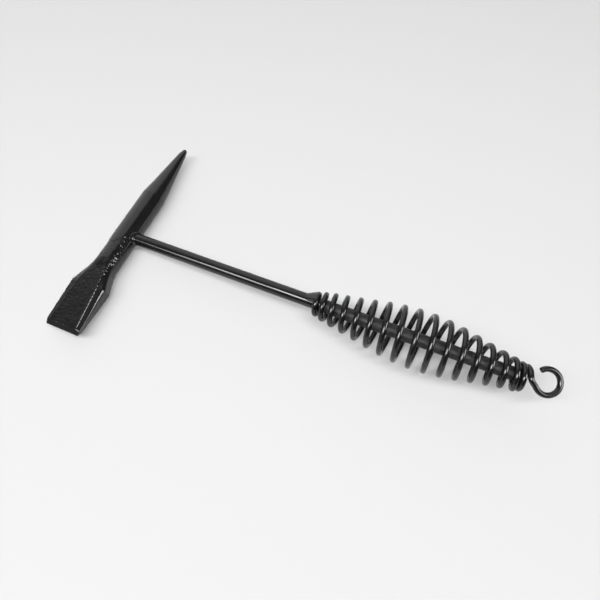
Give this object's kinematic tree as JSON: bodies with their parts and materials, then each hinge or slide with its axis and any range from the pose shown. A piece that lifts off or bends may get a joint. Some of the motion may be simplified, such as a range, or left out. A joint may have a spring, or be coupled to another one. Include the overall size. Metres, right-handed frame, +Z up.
{
  "type": "chipping hammer",
  "caption": "Welder's chipping hammer: chisel-and-pick steel head welded across a round rod, with a barrel-shaped wire-coil grip ending in a hanging eye.",
  "frame": {"origin": "where the head's long axis crosses the handle's axis, at the middle of the head's eye", "axes": "+X along the handle towards the hanging eye, +Y along the head towards the pick point (-Y towards the chisel edge), +Z up as the hammer lies on a bench; the chisel edge runs along X"},
  "size_m": [0.288, 0.1527, 0.0354],
  "materials": {
    "head_paint": "gloss black dipped paint over forged steel, slightly mottled on the chisel half",
    "rod_paint": "smooth gloss black paint",
    "wire_paint": "smooth gloss black paint",
    "weld_paint": "gloss black paint pooled over weld beads"
  },
  "bodies": {
    "root": {"hammer_head": "head_paint", "handle_rod": "rod_paint", "spring_grip": "wire_paint", "head_fillet_weld": "weld_paint", "head_plug_weld": "weld_paint", "front_spring_weld": "weld_paint", "rear_spring_weld": "weld_paint"}
  },
  "joints": []
}
